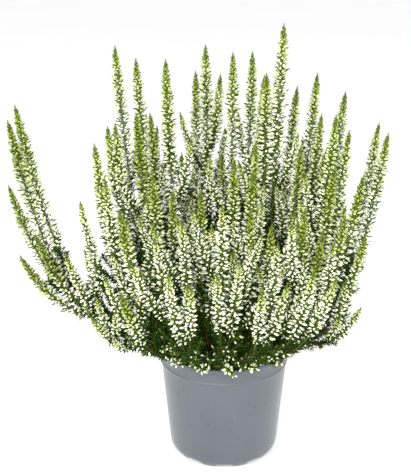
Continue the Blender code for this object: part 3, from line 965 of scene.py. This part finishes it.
def build_sprays(index, names):
    kit = new_kit()
    for name in names:
        number = int(name[-2:])
        green = max(GREEN_SPREAD * rng.random(), GREEN_TIPS.get(number, 0) * MM)
        for stem in spray_stems[name]:
            low = ease((HIGH_TIP - stem.tip.z) / (HIGH_TIP - LOW_TIP))
            share = BUDDED_SHARE + (LOW_BUDDED_SHARE - BUDDED_SHARE) * low
            if stem.tip.xy.length > FAR_RADIUS:
                share = FAR_BUDDED_SHARE
                green = max(green, FAR_GREEN)
            cover_spike(stem, green, kit, 1 + (LOW_PACE - 1) * low, share)
        set_side_spikes(spray_stems[name][0], kit, number)
        if number in SHOWN_SPIKES:
            set_shown_spike(number, spray_stems[name][0], kit)
    piece_names = (f"buds_{index}", f"spray_needles_{index}", f"spray_stems_{index}")
    finish_kit(piece_names, kit, names)


for group_index, first in enumerate(range(0, len(spray_names), GROUP_SIZE), start=1):
    build_sprays(group_index, spray_names[first:first + GROUP_SIZE])

# %% [markdown]
# ## Trunk and branches
# The trunk and the branches are tubes as well, thicker and with rough bark. A little noise
# moves their rings, which keeps them from looking like wire.

# %% Build the woody base
TRUNK_FOOT = 71.4 * MM
TRUNK_TOP = 108.5 * MM
# Radius at the foot and at the tip
TRUNK_RADII = (5.2 * MM, 5.6 * MM)
BRANCH_RADII = (2.6 * MM, 1.25 * MM)
# Fineness and depth of the noise
BARK_NOISE = (260.0, 0.5 * MM)


def roughen(bm, scale, depth):
    """Push every vertex along its normal by smooth noise."""
    bm.normal_update()
    moves = [(v, v.normal * depth * noise.noise(v.co * scale)) for v in bm.verts]
    for vert, move in moves:
        vert.co += move


def build_woody_base():
    bm = bmesh.new()
    trunk = Stem(Vector((0, 0, TRUNK_FOOT)), Vector((0, 0, TRUNK_TOP)), BRANCH_SHARES)
    grow_tube(bm, trunk, *TRUNK_RADII, 16, 10)
    for curve in branches:
        grow_tube(bm, curve, *BRANCH_RADII, 8, 16)
    roughen(bm, *BARK_NOISE)
    finish_piece("branches", bm, BARK_FINISH, "bark", ["woody_base"])


build_woody_base()

# %% [markdown]
# ## Leafy shoots
# Between the branches stand shoots thick with dark needles. They hide the rim of the pot and
# close the gaps under the spikes. Each ends in a handful of full-size buds, and so do half of
# its twigs. Small side twigs along each branch and each bare stem fill the middle of the plant.


# %% Cover one leafy shoot
SHOOT_LEANS = (35, 62)
FRESH_LENGTH = 15 * MM
# End buds in millimetres: the first one's distance from the tip, and how far they spread
END_BUD_FIRST = 1.5
END_BUD_SPAN = 13.5
END_BUD_LENGTHS = (3.6, 5.2)
END_BUD_WIDTH = 1.9


def cover_shoot(stem, fresh, needles, tubes, step=0.5 * MM, length=4.8 * MM, radius=0.7 * MM):
    """A stem set with needles from foot to tip. fresh is the tone added over its last 15 mm."""
    shade = painted_shade_tone(stem.foot)

    def tone(distance):
        return shade + fresh * ease(1 - (stem.length - distance) / FRESH_LENGTH)

    set_needles(needles, stem, 1.5 * MM, stem.length - 2 * MM, step, length, SHOOT_LEANS, tone)
    grow_tube(tubes, stem, radius, STEM_TIP_RADIUS, 3, 4)


def set_end_buds(target, stem, count):
    """A handful of full-size buds over the last 15 mm of a shoot."""
    turn = rng.uniform(0.0, math.tau)
    for index in range(count):
        distance = stem.length - (END_BUD_FIRST + END_BUD_SPAN * index / count) * MM
        lean = math.radians(rng.uniform(45, 100))
        length = rng.uniform(*END_BUD_LENGTHS) * MM
        matrix = place_on(stem, distance, turn, lean, length, END_BUD_WIDTH * MM)
        ripe_bud.press(target, matrix, rng.uniform(0.6, 1.0))
        turn += GOLDEN_ANGLE + rng.uniform(-0.5, 0.5)


# %% Build the shoots
SHOOT_TWIGS = (0.35, 0.5, 0.65, 0.8)
BUDDED_TWIGS = 0.5


def build_shoots():
    kit = new_kit()
    buds, needles, tubes = kit
    for stem in shoot_stems.values():
        cover_shoot(stem, 0.2, needles, tubes, radius=1.1 * MM)
        set_end_buds(buds, stem, 10)
        for place in SHOOT_TWIGS:
            twig = side_twig(stem, stem.length * place, rng.uniform(0, math.tau), 0.8,
                             rng.uniform(10, 18) * MM)
            if twig.tip.z > RIM_CLEAR:
                cover_shoot(twig, 0.2, needles, tubes, length=4.2 * MM)
                if rng.random() < BUDDED_TWIGS:
                    set_end_buds(buds, twig, 6)
    finish_kit(("shoot_buds", "shoot_needles", "shoot_stems"), kit, shoot_names)


build_shoots()

# %% [markdown]
# The outer branches and stems also carry sprigs of about a centimetre, some of them with a few
# buds. They may stand out of the outline and make the lower edge of the plant uneven.

# %% Short sprigs
SPRIG_STEP = 6.5 * MM
OUTER_RADIUS = 52 * MM
OUTER_STEM_SHARE = 0.4


def set_sprigs(stem, end, kit):
    buds, needles, tubes = kit
    for twig in twigs_along(stem, 4 * MM, end, SPRIG_STEP, (0.7, 1.1), (8, 13)):
        outside = twig.foot.xy.length > OUTER_RADIUS and twig.tip.z > RIM_CLEAR
        if outside and in_box(twig.tip, BOX_MARGIN):
            cover_shoot(twig, 0.15, needles, tubes)
            if rng.random() < BUDDED_TWIGS:
                set_end_buds(buds, twig, 5)


def build_sprigs():
    kit = new_kit()
    for curve in branches:
        set_sprigs(curve, curve.length, kit)
    for stem, *_ in spray_stems.values():
        if stem.tip.xy.length > OUTER_RADIUS:
            set_sprigs(stem, OUTER_STEM_SHARE * stem.length, kit)
    finish_kit(("sprig_buds", "sprig_needles", "sprig_stems"), kit)


build_sprigs()

# %% Undergrowth along the branches and stems
UNDERGROWTH_STEP = 7 * MM
LOW_STEM_STEP = 7.5 * MM
LOW_STEM_SHARE = 0.4
LOW_STEM_MARGIN = 8 * MM
# The sprays that end farthest out carry it only near their feet
FAR_SHARE = 0.34
# Step, length and leans of the needles on the branches themselves, and their tone
BRANCH_NEEDLES = (0.25 * MM, 6.0 * MM, (35, 85))
BRANCH_TONE = 0.12


def build_undergrowth():
    needles = bmesh.new()
    tubes = bmesh.new()
    for curve in branches:
        end = curve.length
        set_needles(needles, curve, 0.3 * end, end, *BRANCH_NEEDLES, lambda distance: BRANCH_TONE)
        for twig in twigs_along(curve, 12 * MM, end, UNDERGROWTH_STEP, (0.7, 1.2), (20, 42)):
            if fits(twig.tip):
                cover_shoot(twig, 0.12, needles, tubes)
    for stem, *_ in spray_stems.values():
        share = FAR_SHARE if stem.tip.xy.length > FAR_RADIUS else LOW_STEM_SHARE
        end = stem.length * share
        for twig in twigs_along(stem, 6 * MM, end, LOW_STEM_STEP, (0.6, 1.0), (16, 30)):
            if fits(twig.tip, LOW_STEM_MARGIN):
                cover_shoot(twig, 0.0, needles, tubes, 0.6 * MM, 6.0 * MM)
    finish_piece("undergrowth_needles", needles, NEEDLE_FINISH, "needles")
    finish_piece("undergrowth_stems", tubes, STEM_FINISH, "bark")


build_undergrowth()

# %% [markdown]
# ## The pot
# A nursery pot is one thin skin of plastic, moulded in one shot: a rolled lip, a stacking
# ridge below it, a straight taper and a scalloped foot for water to run out. It is a body of
# revolution, so its outline is spun. The scallops are then raised in its foot.

# %% Pot outline
RIM_RADIUS = 60.0
RIM_HEIGHT = 105.0
LIP_DEPTH = 4.0
LIP_STEP = 1.4
WALL = 1.3
RIDGE_HEIGHT = 90.0
FOOT_RADIUS = 45.5
FOOT_CURVE = 8.0
FOOT_WALL_RADIUS = 50.0
CHANNEL_RADIUS = 41.0
CENTRE_RADIUS = 30.0
CHANNEL_RISE = 3.0
FLOOR = 1.5
DRAIN_PLACE = 36.0
DRAIN_RADIUS = 3.0


def wall_radius(height):
    share = (height - FOOT_CURVE) / (RIM_HEIGHT - LIP_DEPTH - FOOT_CURVE)
    return FOOT_WALL_RADIUS + share * (RIM_RADIUS - LIP_STEP - FOOT_WALL_RADIUS)


def pot_outline():
    lip_foot = RIM_HEIGHT - LIP_DEPTH
    lip = [(RIM_RADIUS - 2.5, 104.2), (RIM_RADIUS - 2.1, 104.8), (RIM_RADIUS - 1.4, RIM_HEIGHT),
           (RIM_RADIUS - 0.6, 104.8), (RIM_RADIUS - 0.1, 104.2), (RIM_RADIUS, 103.4),
           (RIM_RADIUS, 101.9), (RIM_RADIUS - 0.3, 101.3), (wall_radius(lip_foot) + 0.3, 101.0),
           (wall_radius(100.4), 100.4)]
    ridge = [(wall_radius(RIDGE_HEIGHT + rise) + bulge, RIDGE_HEIGHT + rise)
             for rise, bulge in ((2.2, 0.0), (1.4, 0.1), (0.7, 0.6), (0.0, 0.9), (-0.7, 0.6),
                                 (-1.4, 0.1), (-2.2, 0.0))]
    wall = [(wall_radius(height), height) for height in (75.0, 60.0, 45.0, 30.0, 16.0)]
    foot = [(FOOT_WALL_RADIUS, FOOT_CURVE), (49.4, 5.4), (48.3, 3.2), (47.0, 1.4), (46.2, 0.4),
            (FOOT_RADIUS, 0.0)]
    base = [(CHANNEL_RADIUS + 1.2, 0.0), (CHANNEL_RADIUS, CHANNEL_RISE)]
    base += [(DRAIN_PLACE + off, CHANNEL_RISE) for off in (DRAIN_RADIUS, 0.0, -DRAIN_RADIUS)]
    base += [(CENTRE_RADIUS + 1.2, CHANNEL_RISE), (CENTRE_RADIUS, 0.0), (0.0, 0.0)]
    inner = CHANNEL_RISE + FLOOR
    inside = [(0.0, FLOOR), (CENTRE_RADIUS - 1.0, FLOOR), (CENTRE_RADIUS, inner)]
    inside += [(DRAIN_PLACE + off, inner) for off in (-DRAIN_RADIUS, 0.0, DRAIN_RADIUS)]
    inside += [(FOOT_RADIUS + 1.0, inner), (FOOT_WALL_RADIUS - WALL, FOOT_CURVE + 1.0),
              (wall_radius(60.0) - WALL, 60.0), (wall_radius(lip_foot) - WALL, lip_foot)]
    return lip + ridge + wall + foot + base + inside


print("outline points:", len(pot_outline()))


# %% Spin an outline
def spin_outline(outline, steps):
    """A closed body of revolution from (radius, height) points in millimetres."""
    bm = bmesh.new()
    ring = [bm.verts.new((radius * MM, 0.0, height * MM)) for radius, height in outline]
    edges = [bm.edges.new(pair) for pair in zip(ring, ring[1:] + ring[:1])
             if pair[0].co.x > 0 or pair[1].co.x > 0]
    bmesh.ops.spin(bm, geom=ring + edges, axis=(0, 0, 1), cent=(0, 0, 0), steps=steps,
                   angle=math.tau, use_merge=True)
    bmesh.ops.remove_doubles(bm, verts=bm.verts[:], dist=0.01 * MM)
    bmesh.ops.recalc_face_normals(bm, faces=bm.faces[:])
    return bm


# %% Raise the scallops
POT_STEPS = 180
SCALLOPS = 10
SCALLOP_RISE = 4.2
SCALLOP_HALF_WIDTH = math.radians(11)
SCALLOP_STEEPNESS = 2.5


def raise_scallops(bm):
    """Lift the lowest part of the foot in ten arches that begin and end softly."""
    for vert in bm.verts:
        radius = vert.co.xy.length / MM
        height = vert.co.z / MM
        if radius < CHANNEL_RADIUS + 1.0 or height > SCALLOP_RISE:
            continue
        bearing = math.atan2(vert.co.y, vert.co.x) / math.tau * SCALLOPS
        off = abs((bearing - 0.5) - round(bearing - 0.5)) * math.tau / SCALLOPS
        share = ease(SCALLOP_STEEPNESS * (1 - off / SCALLOP_HALF_WIDTH))
        vert.co.z += share * (SCALLOP_RISE - height) * MM


# %% Open the drain holes
DRAIN_HOLES = 6
DRAIN_TURN = 11


def open_drains(bm):
    """Take out the faces over each hole, round its edge and join both sides by a wall."""
    for index in range(DRAIN_HOLES):
        angle = math.radians(360 * index / DRAIN_HOLES + DRAIN_TURN)
        middle = Vector((math.cos(angle), math.sin(angle))) * DRAIN_PLACE * MM
        faces = [face for face in bm.faces
                 if (face.calc_center_median().xy - middle).length < DRAIN_RADIUS * MM
                 and face.calc_center_median().z < (CHANNEL_RISE + FLOOR + 0.1) * MM]
        edges = {edge for face in faces for edge in face.edges}
        rim = [edge for edge in edges if sum(face in faces for face in edge.link_faces) == 1]
        for vert in {vert for edge in rim for vert in edge.verts}:
            vert.co.xy = middle + (vert.co.xy - middle).normalized() * DRAIN_RADIUS * MM
        bmesh.ops.delete(bm, geom=faces, context="FACES")
        bmesh.ops.bridge_loops(bm, edges=rim)
    bmesh.ops.recalc_face_normals(bm, faces=bm.faces[:])


# %% [markdown]
# The plastic is a satin grey with a blue tinge. Handling leaves it slightly patchy and wet peat
# leaves dark specks. Painted shade darkens the creases under the lip and round the ridge. The
# gloss varies with the dust on it, so the roughness follows the same soft patches.


# %% Painted shade in the creases
# Height and half width of each crease in millimetres, and how strong its painted shade is
CREASES = ((100.4, 1.3), (88.4, 0.9))
CREASE_SHADE = 0.7


def crease_shade_mask(tree):
    """Painted shade: strongest at the height of a crease, falling to 0 over its half width."""
    place = tree.nodes.new("ShaderNodeTexCoord")
    split = tree.nodes.new("ShaderNodeSeparateXYZ")
    feed(tree, place.outputs["Object"], split.inputs["Vector"])
    total = 0.0
    for height, half_width in CREASES:
        off = calculate(tree, "SUBTRACT", split.outputs["Z"], height * MM)
        size = calculate(tree, "ABSOLUTE", off)
        near = remap(tree, size, 0.0, half_width * MM, CREASE_SHADE, 0.0)
        total = calculate(tree, "MAXIMUM", total, near)
    return total


# %% Pot finish
def make_pot_finish():
    material, tree, shader = new_finish("grey_plastic", 0.42, 0.8)
    shader.inputs["Sheen Weight"].default_value = 0.27
    shader.inputs["Sheen Roughness"].default_value = 0.4
    shader.inputs["Sheen Tint"].default_value = (1.0, 0.97, 0.93, 1.0)
    patches = place_group(tree, PATCHES, Color=(0.058, 0.071, 0.087), Scale=24.0, Dark=0.88,
                          Light=1.08)
    fine = place_group(tree, PATCHES, Scale=350.0)
    dirt = place_group(tree, SPECKS, Scale=190.0, Amount=0.26, Size=0.20)
    dust = place_group(tree, SPECKS, Scale=420.0, Amount=0.08, Size=0.22)
    dusty = mix_colours(tree, remap(tree, dust.outputs["Mask"], 0.0, 1.0, 0.0, 0.35),
                        patches.outputs["Color"], (0.24, 0.24, 0.22))
    # Painted shade darkens the creases under the lip and round the ridge
    crease_shaded = mix_colours(tree, crease_shade_mask(tree), dusty, (0.045, 0.052, 0.055))
    dirty = mix_colours(tree, remap(tree, dirt.outputs["Mask"], 0.0, 0.5, 0.0, 0.75),
                        crease_shaded, (0.018, 0.018, 0.016))
    dull = remap(tree, patches.outputs["Mask"], 0.3, 0.7, 0.36, 0.52)
    feed(tree, dull, shader.inputs["Roughness"])
    paint(tree, shader, dirty, fine.outputs["Mask"], 0.12, 0.0003)
    return material


POT_FINISH = make_pot_finish()
pot_bm = spin_outline(pot_outline(), POT_STEPS)
raise_scallops(pot_bm)
open_drains(pot_bm)
print("open edges of the pot:", sum(edge.is_boundary for edge in pot_bm.edges))
finish_piece("nursery_pot", pot_bm, POT_FINISH, "pot_plastic", ["pot"])

# %% [markdown]
# ## Peat
# The root ball fills the pot to 10 mm under the rim. Its surface is a dark crumbly mix. The
# outline is spun with many rings on top, which noise then pushes into lumps.

# %% Peat surface
SOIL_HEIGHT = 95.0
SOIL_RINGS = (6.6, 10, 15, 20, 25, 30, 35, 40, 45, 50, 54, 56.0)
SOIL_STEPS = 72
# Only the surface is lumpy: over this height and outside the hole for the trunk
LUMPY_HEIGHT = 94 * MM
HOLE_EDGE = 7 * MM
# Fineness and depth of its two noises
LUMPS = ((160, 1.0 * MM), (420, 0.6 * MM))


def build_peat():
    top = [(radius, SOIL_HEIGHT + 2.0 * (1 - radius / 57)) for radius in SOIL_RINGS]
    side = [(55.4, 90.0), (51.0, 30.0), (47.0, 6.0), (0.0, 6.0), (0.0, 71.0), (6.4, 71.0)]
    bm = spin_outline(top + side, SOIL_STEPS)
    for vert in bm.verts:
        if vert.co.z > LUMPY_HEIGHT and vert.co.xy.length > HOLE_EDGE:
            vert.co.z += sum(depth * noise.noise(vert.co * scale) for scale, depth in LUMPS)
    return bm


def make_peat_finish():
    material, tree, shader = new_finish("dark_peat", 0.95, 0.15)
    patches = place_group(tree, PATCHES, Color=(0.040, 0.023, 0.013), Scale=320.0, Dark=0.4,
                          Light=1.6)
    fibres = place_group(tree, SPECKS, Scale=500.0, Amount=0.12, Size=0.4)
    colour = mix_colours(tree, fibres.outputs["Mask"], patches.outputs["Color"],
                         (0.13, 0.075, 0.04))
    paint(tree, shader, colour, patches.outputs["Mask"], 0.9, 0.001)
    return material


PEAT_FINISH = make_peat_finish()
finish_piece("root_ball", build_peat(), PEAT_FINISH, "peat", ["soil"])

# %% [markdown]
# ## Floor
# The floor is a plain pale sheet, wide enough to run out of the picture.


# %% Lay the floor
def make_floor_finish():
    material, tree, shader = new_finish("pale_floor", 0.9, 0.1)
    patches = place_group(tree, PATCHES, Color=(0.96, 0.96, 0.96), Scale=3.0, Dark=0.985,
                          Light=1.0)
    feed(tree, patches.outputs["Color"], shader.inputs["Base Color"])
    return material


floor_bm = bmesh.new()
bmesh.ops.create_grid(floor_bm, x_segments=1, y_segments=1, size=20.0)
floor_mesh = bpy.data.meshes.new("floor")
floor_bm.to_mesh(floor_mesh)
floor_bm.free()
floor_mesh.materials.append(make_floor_finish())
floor = bpy.data.objects.new("floor", floor_mesh)
bpy.context.scene.collection.objects.link(floor)

# %% [markdown]
# ## Triangles
# The dressed plant must stay inside the box of its solids. At the end the triangles of all the
# pieces are counted and printed.

# %% Count the triangles
print("triangles in all:", sum(made_triangles))
